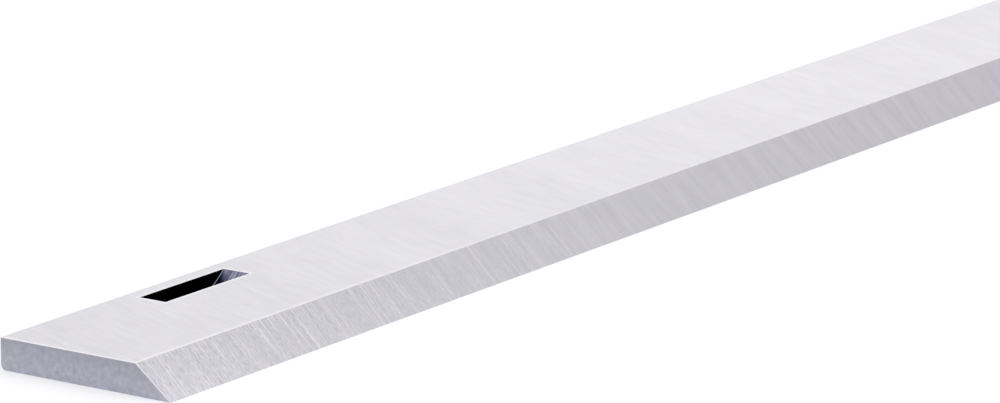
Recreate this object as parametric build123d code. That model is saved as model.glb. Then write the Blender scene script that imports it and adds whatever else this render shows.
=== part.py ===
from build123d import *
import math
import os

# Sizes of the knife in millimetres, angles in degrees.
# X runs along the length, Y from the cutting edge (-Y) to the back (+Y), Z up.
# The origin is under the middle of the knife, on its wide flat face.
knife_length = 260.0
knife_width = 19.0
knife_thickness = 3.0
bevel_angle = 38.0  # between the bevel and the wide flat face

back_rounding = 0.6  # lower long edge at the back
ridge_break = 0.03  # where the bevel meets the upper face
end_break = 0.03  # all round each end face
mouth_break = 0.03  # all round the mouth of each pocket

# A disc cutter fed straight down makes each screw pocket, so its ends run out as arcs.
cutter_radius = 9.25
pocket_width = 3.0
pocket_floor = 0.5  # steel left under the deepest point
pocket_back_wall = 1.55  # steel left between a pocket and the back edge
pocket_from_end = 24.3  # end face to the middle of the pocket


def knife_section():
    """Cross-section with its bevel, seen along the length."""
    bevel_run = knife_thickness / math.tan(math.radians(bevel_angle))
    cutting_edge = -knife_width / 2
    back = knife_width / 2
    outline = Polyline(
        (cutting_edge, 0),
        (back, 0),
        (back, knife_thickness),
        (cutting_edge + bevel_run, knife_thickness),
        close=True,
    )
    section = Plane.YZ * make_face(outline)
    ridge = section.vertices().group_by(Axis.Z)[-1].sort_by(Axis.Y)[0]
    section = chamfer(ridge, ridge_break)
    lower_back = section.vertices().group_by(Axis.Z)[0].sort_by(Axis.Y)[-1]
    return fillet(lower_back, back_rounding)


def knife_bar():
    """Full bar with both ends cut square and their edges broken."""
    bar = extrude(knife_section(), amount=knife_length / 2, both=True)
    end_faces = bar.faces().filter_by(Plane.YZ)
    return chamfer(end_faces.edges(), end_break)


def cutter_disc(centre_x):
    """Disc cutter at the bottom of its stroke."""
    centre_y = knife_width / 2 - pocket_back_wall - pocket_width / 2
    centre_z = pocket_floor + cutter_radius
    disc = Cylinder(cutter_radius, pocket_width, rotation=(90, 0, 0))
    return Pos(centre_x, centre_y, centre_z) * disc


def mill_pocket(bar, centre_x):
    """Bar with one arc-bottomed pocket, its mouth lightly broken."""
    milled = bar - cutter_disc(centre_x)
    upper_face = milled.faces().filter_by(Axis.Z).sort_by(Axis.Z)[-1]
    mouths = upper_face.inner_wires()
    mouth = mouths.sort_by_distance((centre_x, 0, knife_thickness))[0]
    return chamfer(mouth.edges(), mouth_break)


def build_knife():
    pocket_x = knife_length / 2 - pocket_from_end
    knife = knife_bar()
    for centre_x in (-pocket_x, pocket_x):
        knife = mill_pocket(knife, centre_x)
    knife.label = "knife"
    return knife


os.makedirs("parts", exist_ok=True)
export_step(build_knife(), "parts/knife.step")
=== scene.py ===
import math

import bmesh
import bpy
import numpy as np
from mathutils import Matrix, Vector


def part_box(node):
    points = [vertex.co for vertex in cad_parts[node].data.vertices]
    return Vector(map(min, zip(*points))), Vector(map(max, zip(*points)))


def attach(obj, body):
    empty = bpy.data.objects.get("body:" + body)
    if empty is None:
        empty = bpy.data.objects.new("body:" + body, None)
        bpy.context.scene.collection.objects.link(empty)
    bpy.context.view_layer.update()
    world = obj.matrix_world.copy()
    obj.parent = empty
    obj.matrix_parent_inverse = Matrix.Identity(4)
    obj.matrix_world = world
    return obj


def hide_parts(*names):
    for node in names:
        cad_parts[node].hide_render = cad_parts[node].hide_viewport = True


mm = 0.001  # sizes below are in millimetres, Blender works in metres

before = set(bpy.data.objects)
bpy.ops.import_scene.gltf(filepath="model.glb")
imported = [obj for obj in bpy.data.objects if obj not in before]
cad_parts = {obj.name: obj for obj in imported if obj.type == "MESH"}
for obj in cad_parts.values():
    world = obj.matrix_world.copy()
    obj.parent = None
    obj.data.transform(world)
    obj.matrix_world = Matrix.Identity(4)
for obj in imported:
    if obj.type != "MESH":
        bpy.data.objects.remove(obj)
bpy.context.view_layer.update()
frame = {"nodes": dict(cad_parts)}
print("frame loaded, solids:", ", ".join(frame["nodes"]))

# Shape of the knife. Its length, width and thickness come from the frame.
lowCorner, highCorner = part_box("knife")
knifeSize = [(high - low) / mm for low, high in zip(lowCorner, highCorner)]
knifeShape = {
    "bevelAngle": 38.0,  # degrees, between the bevel and the wide flat side
    "backRounding": 0.6,  # lower long edge at the back
    "ridgeBreak": 0.03,  # where the bevel meets the upper face
    "endBreak": 0.03,  # all round each end face
    "mouthBreak": 0.03,  # all round the mouth of a pocket
    "cutterRadius": 9.25,  # disc cutter that milled the pockets
    "pocketWidth": 3.0,
    "pocketFloor": 0.5,  # steel under the deepest point of a pocket
    "pocketBackWall": 1.55,  # steel between a pocket and the back edge
    "pocketFromEnd": 24.3,  # end face to the middle of a pocket
    "pocketCorner": 0.08,  # radius that the cutter's rim leaves at the foot of a wall
    "guard": 0.05,  # narrow strip that keeps a flat face flat beside a rounding
    "tipStrip": 1.0,  # strip of the flat side along the cutting edge
    "slopeLines": (0.5, 0.8),  # further lines along the bevel, as shares of the way down it
    "weldWithin": 0.0002,  # points nearer than this become one
    "sharpAngle": 25.0,  # degrees, an edge that turns more than this stays crisp
}
meshSteps = {
    "backRounding": 14,
    "ridge": 4,
    "endBreak": 4,
    "mouthBreak": 4,
    "pocketLength": 60,
    "pocketWidth": 6,
    "pocketDepth": 8,
    "pocketCorner": 6,
    "betweenPockets": 90,
    "outsidePocket": 14,
}
# One finish for each way the steel was cut, ground or left.
finishNames = [
    "groundFace",
    "groundBevel",
    "flatSide",
    "backEdge",
    "cutEnd",
    "pocketWall",
    "pocketFloor",
    "pocketCorner",
    "brokenEdge",
]
finishIndex = {name: i for i, name in enumerate(finishNames)}


# Points on an arc: the centre plus the radius times the cosine and sine of the angle.
def arc(centreY, centreZ, radius, startAngle, endAngle, steps):
    angle = np.radians(np.linspace(startAngle, endAngle, steps + 1))
    return np.stack([centreY + radius * np.cos(angle), centreZ + radius * np.sin(angle)], 1)


# Points of a straight run, from lists of y and z of which one may be a single number.
def straight(y, z):
    y, z = np.broadcast_arrays(np.asarray(y, float), np.asarray(z, float))
    return np.stack([y, z], 1)


# Grid lines of a pocket. Along the knife, about the pocket's own middle, the inner line follows the
# cutter's circle: x is the radius times the sine of an angle, z the centre's height less the radius
# times the cosine. The outer line is the inner one stretched to the outside of the broken mouth.
def pocketLines(shape, width, thickness):
    radius = shape["cutterRadius"]
    rim = shape["mouthBreak"]
    centreZ = shape["pocketFloor"] + radius
    innerHalf = math.sqrt(radius**2 - (centreZ - thickness + rim) ** 2)
    outerHalf = math.sqrt(radius**2 - (centreZ - thickness) ** 2) + rim
    reach = math.asin(innerHalf / radius)
    angle = np.linspace(-reach, reach, meshSteps["pocketLength"] + 1)
    innerX = radius * np.sin(angle)
    floorZ = centreZ - radius * np.cos(angle)
    innerTop = thickness - rim
    acrossY = np.linspace(-0.5, 0.5, meshSteps["pocketWidth"] + 1) * shape["pocketWidth"]
    middleY = width / 2 - shape["pocketBackWall"] - shape["pocketWidth"] / 2
    return {
        "innerX": innerX,
        "outerX": innerX * outerHalf / innerHalf,
        "floorZ": floorZ,
        "corner": np.minimum(shape["pocketCorner"], (innerTop - floorZ) / 2),
        "innerY": middleY + acrossY,
        "outerY": middleY + acrossY * (1 + 2 * rim / shape["pocketWidth"]),
    }


# Closed section of the knife: along the flat side to the back, up, over the upper face and down the
# bevel. Strips one, two or four guards wide lie beside the roundings. Returns its points and the finish
# of the stretch that starts at each point.
def knifeSection(shape, width, thickness, pocket):
    guard = shape["guard"]
    rounding = shape["backRounding"]
    tipY = -width / 2
    backY = width / 2
    bevel = math.radians(shape["bevelAngle"])
    ridgeY = tipY + thickness / math.tan(bevel)
    ridgeRadius = shape["ridgeBreak"] / math.tan(bevel / 2)
    ridgeStart = ridgeY + shape["ridgeBreak"]
    ridgeZ = thickness - ridgeRadius
    ridgeTurn = 90 + shape["bevelAngle"]
    slopeLength = thickness / math.sin(bevel)
    mouth = pocket["outerY"][::-1]
    flat = straight([tipY, tipY + shape["tipStrip"], 0, backY - rounding - guard], 0)
    corner = arc(backY - rounding, rounding, rounding, -90, 0, meshSteps["backRounding"])[:-1]
    backZ = [rounding, rounding + guard, (rounding + thickness) / 2, thickness - 2 * guard]
    back = straight(backY, backZ)
    faceY = [backY, backY - 4 * guard, mouth[0] + guard, *mouth]
    faceY += [mouth[-1] - guard, 0, ridgeStart + 2 * guard]
    ridge = arc(ridgeStart, ridgeZ, ridgeRadius, 90, ridgeTurn, meshSteps["ridge"])
    firstDown = (shape["ridgeBreak"] + 2 * guard) / slopeLength
    down = np.array([firstDown, *shape["slopeLines"]])
    slope = straight(ridgeY + (tipY - ridgeY) * down, thickness * (1 - down))
    runs = [
        (flat, "flatSide"),
        (corner, "backEdge"),
        (back, "backEdge"),
        (straight(faceY, thickness), "groundFace"),
        (ridge[:-1], "brokenEdge"),
        (ridge[-1:], "groundBevel"),
        (slope, "groundBevel"),
    ]
    points = np.concatenate([run for run, _ in runs])
    finish = np.concatenate([np.full(len(run), finishIndex[name]) for run, name in runs])
    return points, finish


# Inward direction at each corner of the closed section, just long enough to move both its sides in by
# one: the sum of the two side normals over one plus their dot product.
def inwardMitres(points):
    side = np.roll(points, -1, 0) - points
    side /= np.linalg.norm(side, axis=1, keepdims=True)
    normal = np.stack([-side[:, 1], side[:, 0]], 1)
    before = np.roll(normal, 1, 0)
    return (normal + before) / (1 + (normal * before).sum(1, keepdims=True))


# Places along the knife where the section is set, and how far it is drawn in there. A broken end is a
# quarter round: x moves by the sine and the section by the cosine of one angle.
def knifeStations(shape, length, pocket):
    guard = shape["guard"]
    rim = shape["endBreak"]
    turn = np.radians(np.linspace(90, 0, meshSteps["endBreak"] + 1))
    endX = -length / 2 + rim * (1 - np.sin(turn))
    drawnIn = rim * (1 - np.cos(turn))
    pocketX = shape["pocketFromEnd"] - length / 2 + pocket["outerX"]
    before = np.linspace(endX[-1] + guard, pocketX[0] - guard, meshSteps["outsidePocket"])
    after = np.linspace(pocketX[-1] + guard, 0, meshSteps["betweenPockets"] // 2)
    half = np.concatenate([endX, before, pocketX, after])
    inset = np.concatenate([drawnIn, np.zeros(len(half) - len(endX))])
    firstPocket = len(endX) + len(before)
    x = np.concatenate([half, -half[-2::-1]])
    inset = np.concatenate([inset, inset[-2::-1]])
    return x, inset, firstPocket


# A patch from three arrays over the same two-parameter grid, with one finish all over. Flip turns its
# faces over.
def patch(x, y, z, finish, flip=False):
    x, y, z = np.broadcast_arrays(x, y, z)
    points = np.stack([x, y, z], -1).reshape(-1, 3)
    index = np.arange(x.size).reshape(x.shape)
    corners = [index[:-1, :-1], index[1:, :-1], index[1:, 1:], index[:-1, 1:]]
    quads = np.stack(corners, -1).reshape(-1, 4)
    if flip:
        quads = quads[:, ::-1]
    return points, quads, np.full(len(quads), finishIndex[finish])


# The bar: the section carried along the length and drawn in at both ends, with the pocket mouths left
# open. Each end face is a fan from its middle point.
def barPatch(shape, size, pocket):
    length, width, thickness = size
    section, finish = knifeSection(shape, width, thickness, pocket)
    x, inset, firstPocket = knifeStations(shape, length, pocket)
    count = len(section)
    ring = section[None] + inwardMitres(section)[None] * inset[:, None, None]
    alongX = np.broadcast_to(x[:, None, None], (len(x), count, 1))
    points = np.concatenate([alongX, ring], -1).reshape(-1, 3)
    row = np.arange(len(x) - 1)[:, None] * count
    column = np.arange(count)[None]
    after = (column + 1) % count
    quads = np.stack([row + column, row + after, row + count + after, row + count + column], -1)
    faceFinish = np.broadcast_to(finish, quads.shape[:2]).copy()
    faceFinish[: meshSteps["endBreak"]] = finishIndex["brokenEdge"]
    faceFinish[-meshSteps["endBreak"] :] = finishIndex["brokenEdge"]
    fromMouth = np.hypot(section[:, 0] - pocket["outerY"][-1], section[:, 1] - thickness)
    firstMouth = int(np.argmin(fromMouth))
    mouthColumns = slice(firstMouth, firstMouth + meshSteps["pocketWidth"])
    mouthRows = meshSteps["pocketLength"]
    closed = np.ones(quads.shape[:2], bool)
    for start in (firstPocket, len(x) - firstPocket - mouthRows - 1):
        closed[start : start + mouthRows, mouthColumns] = False
    middle = [[x[0], 0, thickness / 2], [x[-1], 0, thickness / 2]]
    firstFan = np.stack([after[0], column[0], np.full(count, len(points))], 1)
    lastFan = np.stack([column[0], after[0], np.full(count, len(points) + 1)], 1)
    lastFan[:, :2] += (len(x) - 1) * count
    fans = np.concatenate([firstFan, lastFan])
    return np.concatenate([points, middle]), quads[closed], faceFinish[closed], fans


# The inside of one pocket: the broken mouth is a quarter round between the outer and the inner line,
# the floor is the cutter's arc drawn out across the pocket, and the walls run from one to the other. At
# the foot of a wall, y and z turn with the cosine and sine of an angle on a radius that runs out to zero
# at both ends.
def pocketPatches(shape, size, pocket, middleX):
    rim = shape["mouthBreak"]
    wallTop = size[2] - rim
    innerX = middleX + pocket["innerX"]
    outerX = middleX + pocket["outerX"]
    innerY = pocket["innerY"]
    outer = aroundMouth(outerX, pocket["outerY"])
    inner = aroundMouth(innerX, innerY)
    turn = np.radians(np.linspace(0, 90, meshSteps["mouthBreak"] + 1))
    mouth = inner[:, None] + (outer - inner)[:, None] * (1 - np.sin(turn))[None, :, None]
    mouthZ = size[2] - rim * (1 - np.cos(turn))[None]
    floorZ = pocket["floorZ"][:, None]
    corner = pocket["corner"][:, None]
    depth = np.linspace(0, 1, meshSteps["pocketDepth"] + 1)[None]
    wallZ = wallTop + (floorZ + corner - wallTop) * depth
    middleY = (innerY[0] + innerY[-1]) / 2
    floorY = middleY + (innerY[None] - middleY) * (1 - 2 * corner / shape["pocketWidth"])
    bend = np.radians(np.linspace(0, 90, meshSteps["pocketCorner"] + 1))[None]
    inFromWall = corner * (1 - np.cos(bend))
    cornerZ = floorZ + corner * (1 - np.sin(bend))
    innerX = innerX[:, None]
    return [
        patch(mouth[..., 0], mouth[..., 1], mouthZ, "brokenEdge"),
        patch(innerX, floorY, floorZ, "pocketFloor"),
        patch(innerX, innerY[0], wallZ, "pocketWall"),
        patch(innerX, innerY[-1], wallZ, "pocketWall", flip=True),
        patch(innerX, innerY[0] + inFromWall, cornerZ, "pocketCorner"),
        patch(innerX, innerY[-1] - inFromWall, cornerZ, "pocketCorner", flip=True),
    ]


# The four sides of a pocket in turn, as one closed run of points.
def aroundMouth(x, y):
    front = straight(x, y[0])
    far = straight(x[-1], y)
    back = straight(x[::-1], y[-1])
    near = straight(x[0], y[::-1])
    return np.concatenate([front, far[1:], back[1:], near[1:]])


# Joins points that lie on each other, which also closes the pocket walls where they run out.
def weld(mesh, within):
    work = bmesh.new()
    work.from_mesh(mesh)
    bmesh.ops.remove_doubles(work, verts=work.verts, dist=within)
    work.to_mesh(mesh)
    work.free()


# A flat map in metres: u runs along the knife and v across each face. On the end faces u runs across
# the knife and v up.
def unroll(mesh, shape):
    corner = np.zeros(len(mesh.loops), np.int32)
    place = np.zeros(len(mesh.vertices) * 3, np.float32)
    finish = np.zeros(len(mesh.polygons), np.int32)
    corners = np.zeros(len(mesh.polygons), np.int32)
    mesh.loops.foreach_get("vertex_index", corner)
    mesh.vertices.foreach_get("co", place)
    mesh.polygons.foreach_get("material_index", finish)
    mesh.polygons.foreach_get("loop_total", corners)
    bevel = math.radians(shape["bevelAngle"])
    axes = {name: [(1, 0, 0), (0, 1, 0)] for name in finishNames}
    axes["groundBevel"] = [(1, 0, 0), (0, -math.cos(bevel), -math.sin(bevel))]
    axes["backEdge"] = [(1, 0, 0), (0, 0, 1)]
    axes["pocketWall"] = [(1, 0, 0), (0, 0, 1)]
    axes["cutEnd"] = [(0, 1, 0), (0, 0, 1)]
    table = np.array([axes[name] for name in finishNames], np.float32)
    flat = np.einsum("nk,nuk->nu", place.reshape(-1, 3)[corner], table[np.repeat(finish, corners)])
    mesh.uv_layers.new(name="unrolled").data.foreach_set("uv", flat.ravel())


# The knife as one closed mesh, welded from its patches.
def buildKnife(shape, size):
    pocket = pocketLines(shape, size[1], size[2])
    points, quads, finish, fans = barPatch(shape, size, pocket)
    allPoints, allQuads, allFinish = [points], [quads], [finish]
    offset = len(points)
    pocketX = size[0] / 2 - shape["pocketFromEnd"]
    for middleX in (-pocketX, pocketX):
        for patchPoints, patchQuads, patchFinish in pocketPatches(shape, size, pocket, middleX):
            allPoints.append(patchPoints)
            allQuads.append(patchQuads + offset)
            allFinish.append(patchFinish)
            offset += len(patchPoints)
    allFinish.append(np.full(len(fans), finishIndex["cutEnd"]))
    mesh = bpy.data.meshes.new("planerKnife")
    faces = np.concatenate(allQuads).tolist() + fans.tolist()
    mesh.from_pydata(np.concatenate(allPoints) * mm, [], faces, shade_flat=False)
    mesh.polygons.foreach_set("material_index", np.concatenate(allFinish).astype(np.int32))
    weld(mesh, shape["weldWithin"] * mm)
    mesh.set_sharp_from_angle(angle=math.radians(shape["sharpAngle"]))
    unroll(mesh, shape)
    knife = bpy.data.objects.new("planerKnife", mesh)
    bpy.context.scene.collection.objects.link(knife)
    return knife


# A written sRGB colour such as "E4E2E8" as the linear values that a shader takes.
def toLinear(colour):
    channels = [int(colour[i : i + 2], 16) / 255 for i in (0, 2, 4)]
    return [c / 12.92 if c <= 0.04045 else ((c + 0.055) / 1.055) ** 2.4 for c in channels] + [1]


# Adds a node. A setting is set on the node, and an input is linked where it comes from another node.
def addNode(tree, kind, inputs, **settings):
    node = tree.nodes.new(kind)
    for name, value in settings.items():
        setattr(node, name, value)
    for name, value in inputs.items():
        if isinstance(value, bpy.types.NodeSocket):
            tree.links.new(value, node.inputs[name])
        else:
            node.inputs[name].default_value = value
    return node


# An empty material with its shader, ready for a finish.
def newFinish(name, metallic):
    material = bpy.data.materials.new(name)
    material.use_nodes = True
    tree = material.node_tree
    tree.nodes.clear()
    shader = addNode(tree, "ShaderNodeBsdfPrincipled", {"Metallic": metallic})
    addNode(tree, "ShaderNodeOutputMaterial", {"Surface": shader.outputs["BSDF"]})
    return material, tree, shader


# What the noises of all finishes share.
noiseDetail = {"broad": 1, "middle": 1, "fine": 2, "grain": 3, "mottle": 2}  # finer layers added
noiseRoughness = 0.6  # how strongly the finer layers show
noiseRange = (0.3, 0.7)  # nearly all of a noise lies between these

# What the four ground faces share, in millimetres from the middle of the knife.
middleReach = 80.0  # where the painted light that lightens the middle of the knife has gone
calmTo = 130.0  # where the marks have their full strength

# Ground steel is drawn with marks of five sizes. Each has a spacing across it and a length along it, both
# in millimetres, and a strength as a share of the step from the dark to the light colour. Hairlines and
# scratches have a fourth value, which is even: the higher it is, the rarer they are. Real marks are too
# fine to show from the camera, so on every face the fine ones and the hairlines are drawn coarser.
groundSteel = {
    # Upper face of hardened tool steel, surface ground with a cup wheel: bright and nearly even, with
    # long faint arcs that the wheel's rim leaves as it passes over.
    "groundFace": {
        "name": "groundSteelFace",
        "start": 4.7,  # shifts the random pattern, in marks
        "darkColour": "C8C6CB",
        "lightColour": "FCFAFF",
        "tone": 0.535,  # level between the dark and the light colour
        "paintedMiddleLight": 0.06,  # painted light: lighter towards the middle of the knife
        "roughness": (0.30, 0.40),  # of the lightest and of the darkest steel
        "anisotropy": 0.5,
        "anisotropyTurn": 0.933,  # across the arcs, as part of a full turn from the length
        "wheelRadius": 150.0,  # of the rim that leaves the arcs
        "wheelCentreY": -58.5,  # its centre line, from the middle of the width
        "broad": (9.0, 60.0, 0.15),
        "middle": (1.1, 5.0, 0.15),
        "fine": (0.28, 3.0, 0.20),  # real marks are 0.05 to 0.1 wide
        "hairline": (0.20, 5.0, 0.09, 8),
        "scratch": (0.3, 20.0, 0.05, 24),
        "slopeTone": 0.0,  # how much lighter the steel gets from the top of the knife down
        "paintedEdgeLight": (0.5, 0.45),  # width and tone of the painted highlight, a lighter band along the edges
        "paintedEdgeLightAt": ("ridge", "end", "mouth"),
        "calmFrom": 50.0,  # marks are calm out to here from the middle of the knife
        "calmLeast": 0.15,  # share of their strength that calm marks keep
        "markDepth": 0.0012,  # height of the fine marks, in millimetres
    },
    # Bevel of hardened tool steel, ground across the edge: a satin grey with fine streaks straight
    # down the slope, and bright hairline scratches.
    "groundBevel": {
        "name": "groundSteelBevel",
        "start": 210.0,
        "darkColour": "A7A6AD",
        "lightColour": "FAF7FF",
        "tone": 0.570,
        "paintedMiddleLight": 0.0,
        "roughness": (0.26, 0.38),
        "anisotropy": 0.5,
        "anisotropyTurn": 0.0,
        "turn": -7.5,  # degrees, towards the near end at the cutting edge
        "broad": (1.6, 10.0, 0.18),
        "middle": (0.7, 5.0, 0.19),
        "fine": (0.12, 0.65, 1.0),  # real marks are 0.03 to 0.1 wide
        "hairline": (0.09, 3.0, 0.65, 20),
        "scratch": (0.08, 6.0, 1.6, 36),
        "slopeTone": 0.14,
        "paintedEdgeLight": (20.0, 0.08),  # painted light: the bevel is lighter within this distance of the end
        "paintedEdgeLightAt": ("end",),
        "calmFrom": 50.0,
        "calmLeast": 0.0,
        "markDepth": 0.004,
    },
    # Flat side of hardened tool steel, surface ground with the same wheel: as bright as the upper face,
    # with longer marks on arcs that bend the other way.
    "flatSide": {
        "name": "groundSteelFlatSide",
        "start": 0.0,
        "darkColour": "C8C6CB",
        "lightColour": "FFFDFF",
        "tone": 0.42,
        "paintedMiddleLight": 0.05,
        "roughness": (0.28, 0.38),
        "anisotropy": 0.5,
        "anisotropyTurn": 0.067,
        "wheelRadius": 150.0,
        "wheelCentreY": 58.5,
        "broad": (12.0, 160.0, 0.30),
        "middle": (2.0, 60.0, 0.20),
        "fine": (0.35, 30.0, 0.16),
        "hairline": (0.16, 4.0, 0.08, 8),
        "scratch": (0.3, 20.0, 0.10, 24),
        "slopeTone": 0.0,
        "paintedEdgeLight": (0.5, 0.1),
        "paintedEdgeLightAt": ("end",),
        "calmFrom": 20.0,
        "calmLeast": 0.7,
        "markDepth": 0.0015,
    },
    # Back edge of hardened tool steel, ground lengthwise: a little duller, with fine lines along it.
    "backEdge": {
        "name": "groundSteelBack",
        "start": 0.0,
        "darkColour": "B4B2B8",
        "lightColour": "FBF9FD",
        "tone": 0.5,
        "paintedMiddleLight": 0.0,
        "roughness": (0.30, 0.42),
        "anisotropy": 0.5,
        "anisotropyTurn": 0.25,
        "turn": 90.0,
        "broad": (0.9, 90.0, 0.25),
        "middle": (0.35, 40.0, 0.20),
        "fine": (0.12, 18.0, 0.30),
        "hairline": (0.09, 5.0, 0.25, 8),
        "scratch": (0.12, 20.0, 0.25, 24),
        "slopeTone": 0.0,
        "paintedEdgeLight": (0.3, 0.1),
        "paintedEdgeLightAt": ("end",),
        "calmFrom": 20.0,
        "calmLeast": 0.8,
        "markDepth": 0.003,
    },
}


# Marks along wheel arcs: across them is x plus the root of the wheel radius squared less the squared
# distance from its centre line, and along them is y.
def alongArcs(tree, place, s):
    split = addNode(tree, "ShaderNodeSeparateXYZ", {0: place})
    inputs = {0: split.outputs["Y"], 1: s["wheelCentreY"]}
    fromCentre = addNode(tree, "ShaderNodeMath", inputs, operation="SUBTRACT")
    inputs = {0: fromCentre.outputs[0], 1: 2.0}
    squared = addNode(tree, "ShaderNodeMath", inputs, operation="POWER")
    inputs = {0: s["wheelRadius"] ** 2, 1: squared.outputs[0]}
    left = addNode(tree, "ShaderNodeMath", inputs, operation="SUBTRACT")
    root = addNode(tree, "ShaderNodeMath", {0: left.outputs[0]}, operation="SQRT")
    inputs = {0: split.outputs["X"], 1: root.outputs[0]}
    across = addNode(tree, "ShaderNodeMath", inputs, operation="ADD")
    inputs = {"X": across.outputs[0], "Y": split.outputs["Y"]}
    return addNode(tree, "ShaderNodeCombineXYZ", inputs).outputs[0]


# Straight marks: the unrolled map turned by an angle.
def alongLines(tree, s):
    unrolled = addNode(tree, "ShaderNodeUVMap", {}, uv_map="unrolled").outputs[0]
    inputs = {0: unrolled, "Scale": 1 / mm}
    unrolled = addNode(tree, "ShaderNodeVectorMath", inputs, operation="SCALE").outputs[0]
    inputs = {"Vector": unrolled, "Rotation": (0, 0, math.radians(s["turn"]))}
    return addNode(tree, "ShaderNodeMapping", inputs).outputs[0]


# Distance to the nearest of the named edges, in millimetres: half the length less |x| to an end, y less
# its place to the ridge, and the larger of the two overhangs outside a pocket's rectangle.
def edgeDistance(tree, absoluteX, y, edges):
    shape = knifeShape
    length, width, thickness = knifeSize
    pocketHalf = pocketLines(shape, width, thickness)["outerX"][-1]
    pocketX = length / 2 - shape["pocketFromEnd"]
    pocketY = width / 2 - shape["pocketBackWall"] - shape["pocketWidth"] / 2
    ridgeY = thickness / math.tan(math.radians(shape["bevelAngle"])) - width / 2
    inputs = {0: length / 2, 1: absoluteX}
    nearest = addNode(tree, "ShaderNodeMath", inputs, operation="SUBTRACT")
    others = []
    if "ridge" in edges:
        inputs = {0: y, 1: ridgeY}
        others.append(addNode(tree, "ShaderNodeMath", inputs, operation="SUBTRACT"))
    if "mouth" in edges:
        rectangle = ((absoluteX, pocketX, pocketHalf), (y, pocketY, shape["pocketWidth"] / 2))
        over = []
        for value, middle, half in rectangle:
            inputs = {0: value, 1: middle}
            offset = addNode(tree, "ShaderNodeMath", inputs, operation="SUBTRACT")
            offset = addNode(tree, "ShaderNodeMath", {0: offset.outputs[0]}, operation="ABSOLUTE")
            inputs = {0: offset.outputs[0], 1: half}
            over.append(addNode(tree, "ShaderNodeMath", inputs, operation="SUBTRACT"))
        inputs = {0: over[0].outputs[0], 1: over[1].outputs[0]}
        others.append(addNode(tree, "ShaderNodeMath", inputs, operation="MAXIMUM"))
    for other in others:
        inputs = {0: nearest.outputs[0], 1: other.outputs[0]}
        nearest = addNode(tree, "ShaderNodeMath", inputs, operation="MINIMUM")
    return nearest.outputs[0]
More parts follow.
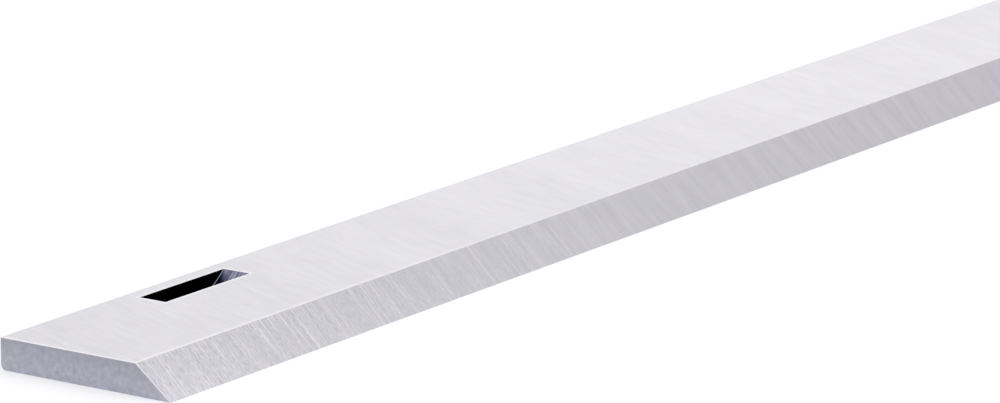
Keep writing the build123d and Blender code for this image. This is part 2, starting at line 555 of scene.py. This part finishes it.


# The tone is a level plus noise times strength for each size of mark; the level has painted light added
# towards the middle of the knife. Hairlines and scratches are long cells whose random value from -1 to 1
# is raised to an even power, so that only a few show. All but the broad and middle marks calm down
# towards the middle of the knife, and the tone down the slope and the painted highlight along the edges
# do so with them.
def makeGroundSteel(s):
    material, tree, shader = newFinish(s["name"], 1)
    place = addNode(tree, "ShaderNodeTexCoord", {}).outputs["Object"]
    inputs = {0: place, "Scale": 1 / mm}
    place = addNode(tree, "ShaderNodeVectorMath", inputs, operation="SCALE").outputs[0]
    marks = alongArcs(tree, place, s) if "wheelRadius" in s else alongLines(tree, s)
    stretched = {}
    for size in ("broad", "middle", "fine", "hairline", "scratch"):
        spacing, length = s[size][:2]
        scale = (1 / spacing, 1 / length, 1)
        inputs = {"Vector": marks, "Scale": scale, "Location": (s["start"], 0, 0)}
        stretched[size] = addNode(tree, "ShaderNodeMapping", inputs).outputs[0]
    noise = {}
    for size in ("broad", "middle", "fine"):
        inputs = {"Vector": stretched[size], "Scale": 1}
        inputs.update({"Detail": noiseDetail[size], "Roughness": noiseRoughness})
        noise[size] = addNode(tree, "ShaderNodeTexNoise", inputs, noise_dimensions="2D").outputs[0]
    split = addNode(tree, "ShaderNodeSeparateXYZ", {0: place})
    inputs = {0: split.outputs["X"]}
    absoluteX = addNode(tree, "ShaderNodeMath", inputs, operation="ABSOLUTE").outputs[0]
    inputs = {"Value": absoluteX, "From Min": s["calmFrom"], "From Max": calmTo, "To Min": s["calmLeast"]}
    nearEnd = addNode(tree, "ShaderNodeMapRange", inputs).outputs[0]
    fineStrength = s["fine"][2]
    inputs = {0: noise["fine"], 1: fineStrength, 2: -fineStrength / 2}
    thin = addNode(tree, "ShaderNodeMath", inputs, operation="MULTIPLY_ADD")
    for size in ("hairline", "scratch"):
        strength, rarity = s[size][2:]
        inputs = {"Vector": stretched[size], "Scale": 1}
        cells = addNode(tree, "ShaderNodeTexVoronoi", inputs, voronoi_dimensions="2D")
        random = addNode(tree, "ShaderNodeSeparateColor", {0: cells.outputs["Color"]})
        inputs = {"Value": random.outputs[0], "To Min": -1, "To Max": 1}
        signed = addNode(tree, "ShaderNodeMapRange", inputs)
        inputs = {0: signed.outputs[0], 1: rarity}
        rare = addNode(tree, "ShaderNodeMath", inputs, operation="POWER")
        inputs = {0: rare.outputs[0], 1: strength, 2: thin.outputs[0]}
        thin = addNode(tree, "ShaderNodeMath", inputs, operation="MULTIPLY_ADD")
    thickness = knifeSize[2]
    inputs = {0: split.outputs["Z"], 1: -s["slopeTone"] / thickness, 2: thin.outputs[0]}
    thin = addNode(tree, "ShaderNodeMath", inputs, operation="MULTIPLY_ADD")
    level = s["tone"] + s["slopeTone"] / 2 - (s["broad"][2] + s["middle"][2]) / 2
    # Painted light: the level is raised towards the middle of the knife.
    inputs = {"Value": absoluteX, "From Max": middleReach}
    inputs.update({"To Min": level + s["paintedMiddleLight"], "To Max": level})
    middle = addNode(tree, "ShaderNodeMapRange", inputs)
    inputs = {0: thin.outputs[0], 1: nearEnd, 2: middle.outputs[0]}
    tone = addNode(tree, "ShaderNodeMath", inputs, operation="MULTIPLY_ADD")
    for size in ("broad", "middle"):
        inputs = {0: noise[size], 1: s[size][2], 2: tone.outputs[0]}
        tone = addNode(tree, "ShaderNodeMath", inputs, operation="MULTIPLY_ADD")
    # Painted highlight: the tone is raised in a band along the named edges.
    width, brightening = s["paintedEdgeLight"]
    distance = edgeDistance(tree, absoluteX, split.outputs["Y"], s["paintedEdgeLightAt"])
    inputs = {"Value": distance, "From Max": width, "To Min": brightening, "To Max": 0}
    paintedEdgeLight = addNode(tree, "ShaderNodeMapRange", inputs)
    inputs = {0: paintedEdgeLight.outputs[0], 1: nearEnd, 2: tone.outputs[0]}
    tone = addNode(tree, "ShaderNodeMath", inputs, operation="MULTIPLY_ADD")
    inputs = {0: tone.outputs[0], 6: toLinear(s["darkColour"]), 7: toLinear(s["lightColour"])}
    colour = addNode(tree, "ShaderNodeMix", inputs, data_type="RGBA")
    low, high = s["roughness"]
    rough = addNode(tree, "ShaderNodeMapRange", {"Value": tone.outputs[0], "To Min": high, "To Max": low})
    bump = addNode(tree, "ShaderNodeBump", {"Height": noise["fine"], "Distance": s["markDepth"] * mm})
    tangent = addNode(tree, "ShaderNodeTangent", {}, direction_type="UV_MAP", uv_map="unrolled")
    tree.links.new(colour.outputs[2], shader.inputs["Base Color"])
    tree.links.new(rough.outputs[0], shader.inputs["Roughness"])
    tree.links.new(bump.outputs[0], shader.inputs["Normal"])
    tree.links.new(tangent.outputs[0], shader.inputs["Tangent"])
    shader.inputs["Anisotropic"].default_value = s["anisotropy"]
    shader.inputs["Anisotropic Rotation"].default_value = s["anisotropyTurn"]
    return material


# Finishes that only need a mottled tone and a fine grain drawn out one way. Grain and mottle have the
# length of a mark along x, y and z. Painted shade has a direction, the two values of the place times the
# direction at which the painted shade is full and gone, and its colour. All sizes are in millimetres.
plainFinishes = {
    # End face, parted with an abrasive disc: mottled and finely grained; its dull blue grey is painted
    # shade, painted darker still towards the top.
    "cutEnd": {
        "name": "abrasiveCutEnd",
        "colours": ("A9A9B2", "C1C1D0"),
        # painted shade, darker towards the top of the face
        "paintedShade": ((0, 0, 1), 6.0, 0.3, "93939E"),
        "metallic": 1,
        "roughness": (0.42, 0.55),  # of the lightest and of the darkest places
        "grain": (2.0, 0.45, 0.55),  # the disc's real grain is 0.1 to 0.2, drawn coarser to show
        "mottle": (1.0, 0.9, 0.7),
        "grainShare": 0.5,
        "specular": 0.5,
        "depth": 0.003,  # height of the grain
    },
    # Pocket walls: near black as painted shade of the deep pocket, blacker still towards the floor; matt,
    # almost no light comes back.
    "pocketWall": {
        "name": "pocketWallPaintedShade",
        "colours": ("010102", "050507"),
        # painted shade, darker towards the bottom of the pocket
        "paintedShade": ((0, 0, 1), 0.0, 2.0, "000000"),
        "metallic": 0,
        "roughness": (0.7, 0.9),
        "grain": (0.8, 0.8, 0.15),
        "mottle": (1.2, 1.2, 1.2),
        "grainShare": 0.5,
        "specular": 0.0,
        "depth": 0.004,
    },
    # Pocket floor, milled with a disc cutter: blue grey, with lines along the cut, and a navy painted
    # shade towards the back wall and deeper down.
    "pocketFloor": {
        "name": "milledPocketFloor",
        "colours": ("363E6C", "ACACBE"),
        # painted shade, full near the back wall and deep in the pocket
        "paintedShade": ((0, -1, 2), -3.3, -1.7, "0E1634"),
        "metallic": 1,
        "roughness": (0.35, 0.50),
        "grain": (4.0, 0.18, 4.0),
        "mottle": (0.4, 0.4, 0.4),
        "grainShare": 0.75,
        "specular": 0.5,
        "depth": 0.006,
    },
    # Foot of the pocket walls, the radius that the rim of the disc cutter leaves: it catches the light as
    # a thin line, lighter than the floor as painted highlight, with painted shade at the deepest points.
    "pocketCorner": {
        "name": "milledPocketCorner",
        "colours": ("5A6074", "AEB2C2"),
        # painted shade at the deepest points of the pocket
        "paintedShade": ((0, 0, 1), 0.0, 0.5, "080C22"),
        "metallic": 1,
        "roughness": (0.30, 0.45),
        "grain": (1.0, 0.3, 1.0),
        "mottle": (0.6, 0.6, 0.6),
        "grainShare": 0.5,
        "specular": 0.5,
        "depth": 0.003,
    },
    # Broken edges, stoned by hand: polished and narrow, the brightest steel, partly as a painted
    # highlight, with painted shade near the floor.
    "brokenEdge": {
        "name": "stonedEdge",
        "colours": ("F8F6FB", "FFFDFF"),
        # painted shade near the floor
        "paintedShade": ((0, 0, 1), 0.0, 0.5, "E4E2E8"),
        "metallic": 1,
        "roughness": (0.30, 0.45),
        "grain": (0.8, 0.2, 0.2),
        "mottle": (3.0, 3.0, 3.0),
        "grainShare": 0.5,
        "specular": 0.5,
        "depth": 0.002,
    },
}


# The tone is the mottle mixed with the grain and stretched to the full range. The colour runs with it
# from the dark to the light one, and turns into the painted shade along its direction.
def makePlainFinish(s):
    material, tree, shader = newFinish(s["name"], s["metallic"])
    place = addNode(tree, "ShaderNodeTexCoord", {}).outputs["Object"]
    noise = {}
    for name in ("grain", "mottle"):
        scale = [1 / (length * mm) for length in s[name]]
        stretched = addNode(tree, "ShaderNodeMapping", {"Vector": place, "Scale": scale})
        inputs = {"Vector": stretched.outputs[0], "Scale": 1}
        inputs.update({"Detail": noiseDetail[name], "Roughness": noiseRoughness})
        noise[name] = addNode(tree, "ShaderNodeTexNoise", inputs).outputs[0]
    inputs = {0: s["grainShare"], 2: noise["mottle"], 3: noise["grain"]}
    both = addNode(tree, "ShaderNodeMix", inputs, data_type="FLOAT")
    inputs = {"Value": both.outputs[0], "From Min": noiseRange[0], "From Max": noiseRange[1]}
    tone = addNode(tree, "ShaderNodeMapRange", inputs)
    dark, light = [toLinear(colour) for colour in s["colours"]]
    inputs = {0: tone.outputs[0], 6: dark, 7: light}
    colour = addNode(tree, "ShaderNodeMix", inputs, data_type="RGBA")
    # Painted shade: the colour darkens along a direction.
    direction, shadeFull, shadeNone, shadeColour = s["paintedShade"]
    inputs = {0: place, 1: direction}
    along = addNode(tree, "ShaderNodeVectorMath", inputs, operation="DOT_PRODUCT").outputs["Value"]
    inputs = {"Value": along, "From Min": shadeFull * mm, "From Max": shadeNone * mm}
    inputs.update({"To Min": 1, "To Max": 0})
    paintedShade = addNode(tree, "ShaderNodeMapRange", inputs)
    inputs = {0: paintedShade.outputs[0], 6: colour.outputs[2], 7: toLinear(shadeColour)}
    colour = addNode(tree, "ShaderNodeMix", inputs, data_type="RGBA")
    low, high = s["roughness"]
    rough = addNode(tree, "ShaderNodeMapRange", {"Value": tone.outputs[0], "To Min": high, "To Max": low})
    bump = addNode(tree, "ShaderNodeBump", {"Height": noise["grain"], "Distance": s["depth"] * mm})
    tree.links.new(colour.outputs[2], shader.inputs["Base Color"])
    tree.links.new(rough.outputs[0], shader.inputs["Roughness"])
    tree.links.new(bump.outputs[0], shader.inputs["Normal"])
    shader.inputs["Specular IOR Level"].default_value = s["specular"]
    return material


knife = buildKnife(knifeShape, knifeSize)
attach(knife, "root")
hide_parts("knife")
finishes = {finishName: makeGroundSteel(settings) for finishName, settings in groundSteel.items()}
finishes.update({finishName: makePlainFinish(settings) for finishName, settings in plainFinishes.items()})
for finishName in finishNames:
    knife.data.materials.append(finishes[finishName])
print("knife built:", len(knife.data.polygons), "faces")

# Pale floor, soft sky and three softboxes.
studio = {
    "floorColour": "F0F0F2",
    "floorRoughness": 0.9,
    "floorSize": 8.0,  # metres
    "liftColour": "FFFFFF",
    "floorLift": 0.23,  # brings the seen floor to white, the shadow stays
    "skyColour": "FFFFFF",
    # strength of the sky at the horizon, in the band above it and overhead
    "skyAtHorizon": 0.9,
    "skyBand": 0.6,
    "skyOverhead": 1.0,
    # heights between which it falls to the band and rises again, as the sine of the angle above ground
    "skyFall": (0.15, 0.5),
    "skyRise": (0.55, 0.9),
    # power in watts, width and height, place and aim in metres
    "softboxes": {
        "softboxFront": (2.5, (1.4, 1.4), (-0.7, -0.7, 0.7), (0, 0, 0)),
        "softboxSide": (0.1, (0.4, 0.4), (0.2, -0.1, 0.5), (-0.1, 0, 0)),
        "softboxBack": (0.15, (0.5, 0.3), (0.69, 0.4, 0.2), (0, 0, 0)),
    },
}


# A flat square of painted board, pale and quite matt. The lift is added only where the camera sees the
# board, straight, in a reflection or through glass.
def layFloor(s):
    half = s["floorSize"] / 2
    corners = [(-half, -half, 0), (half, -half, 0), (half, half, 0), (-half, half, 0)]
    mesh = bpy.data.meshes.new("studioFloor")
    mesh.from_pydata(corners, [], [(0, 1, 2, 3)])
    floor = bpy.data.objects.new("studioFloor", mesh)
    bpy.context.scene.collection.objects.link(floor)
    material, tree, shader = newFinish("paintedBoard", 0)
    shader.inputs["Base Color"].default_value = toLinear(s["floorColour"])
    shader.inputs["Roughness"].default_value = s["floorRoughness"]
    shader.inputs["Specular IOR Level"].default_value = 0
    path = addNode(tree, "ShaderNodeLightPath", {})
    inputs = {0: path.outputs["Is Camera Ray"], 1: path.outputs["Is Glossy Ray"]}
    seen = addNode(tree, "ShaderNodeMath", inputs, operation="MAXIMUM")
    inputs = {0: seen.outputs[0], 1: path.outputs["Is Transmission Ray"]}
    seen = addNode(tree, "ShaderNodeMath", inputs, operation="MAXIMUM")
    inputs = {0: seen.outputs[0], 1: s["floorLift"]}
    lift = addNode(tree, "ShaderNodeMath", inputs, operation="MULTIPLY")
    tree.links.new(lift.outputs[0], shader.inputs["Emission Strength"])
    shader.inputs["Emission Color"].default_value = toLinear(s["liftColour"])
    mesh.materials.append(material)


# The sky's strength falls smoothly from the horizon to a band, and rises smoothly from there to overhead.
def makeSky(s):
    world = bpy.data.worlds.new("studioSky")
    bpy.context.scene.world = world
    world.use_nodes = True
    tree = world.node_tree
    direction = addNode(tree, "ShaderNodeTexCoord", {}).outputs["Generated"]
    height = addNode(tree, "ShaderNodeSeparateXYZ", {0: direction}).outputs["Z"]
    lowest, highest = s["skyFall"]
    inputs = {"Value": height, "From Min": lowest, "From Max": highest}
    inputs.update({"To Min": s["skyAtHorizon"], "To Max": s["skyBand"]})
    fall = addNode(tree, "ShaderNodeMapRange", inputs, interpolation_type="SMOOTHSTEP")
    lowest, highest = s["skyRise"]
    inputs = {"Value": height, "From Min": lowest, "From Max": highest}
    inputs.update({"To Max": s["skyOverhead"] - s["skyBand"]})
    rise = addNode(tree, "ShaderNodeMapRange", inputs, interpolation_type="SMOOTHSTEP")
    inputs = {0: fall.outputs[0], 1: rise.outputs[0]}
    strength = addNode(tree, "ShaderNodeMath", inputs, operation="ADD")
    background = tree.nodes["Background"]
    background.inputs["Color"].default_value = toLinear(s["skyColour"])
    tree.links.new(strength.outputs[0], background.inputs["Strength"])


# A rectangular area light, turned from its place towards its aim. The camera doesn't see it.
def hangSoftbox(name, power, size, place, aim):
    light = bpy.data.lights.new(name, "AREA")
    light.energy = power
    light.shape = "RECTANGLE"
    light.size, light.size_y = size
    lamp = bpy.data.objects.new(name, light)
    lamp.location = place
    lamp.rotation_euler = (Vector(aim) - Vector(place)).to_track_quat("-Z", "Y").to_euler()
    lamp.visible_camera = False
    bpy.context.scene.collection.objects.link(lamp)


layFloor(studio)
makeSky(studio)
for softboxName, softbox in studio["softboxes"].items():
    hangSoftbox(softboxName, *softbox)
print("studio set")

# The photograph's view, long lens, near end in front. Lengths are in millimetres, angles in degrees.
cameraView = {
    "aimPoint": (-63.706, 1.708, 3.0),
    "azimuth": -55.2,  # from the front towards the near end
    "elevation": 13.904,
    "distance": 602.66,
    "focalLength": 225.37,
    "sensorWidth": 36.0,
}


# The camera stands at its distance from the aim point, in the direction of the two angles: sideways by
# the sine of the azimuth, to the front by its cosine, and up by the sine of the elevation.
def placeCamera(s):
    azimuth = math.radians(s["azimuth"])
    elevation = math.radians(s["elevation"])
    level = math.cos(elevation)
    back = Vector((math.sin(azimuth) * level, -math.cos(azimuth) * level, math.sin(elevation)))
    data = bpy.data.cameras.new("productCamera")
    data.lens = s["focalLength"]
    data.sensor_width = s["sensorWidth"]
    data.sensor_fit = "HORIZONTAL"
    camera = bpy.data.objects.new("productCamera", data)
    camera.location = (Vector(s["aimPoint"]) + back * s["distance"]) * mm
    camera.rotation_euler = (-back).to_track_quat("-Z", "Y").to_euler()
    bpy.context.scene.collection.objects.link(camera)
    bpy.context.scene.camera = camera


placeCamera(cameraView)
bpy.context.scene.view_settings.view_transform = "Standard"
print("camera placed")
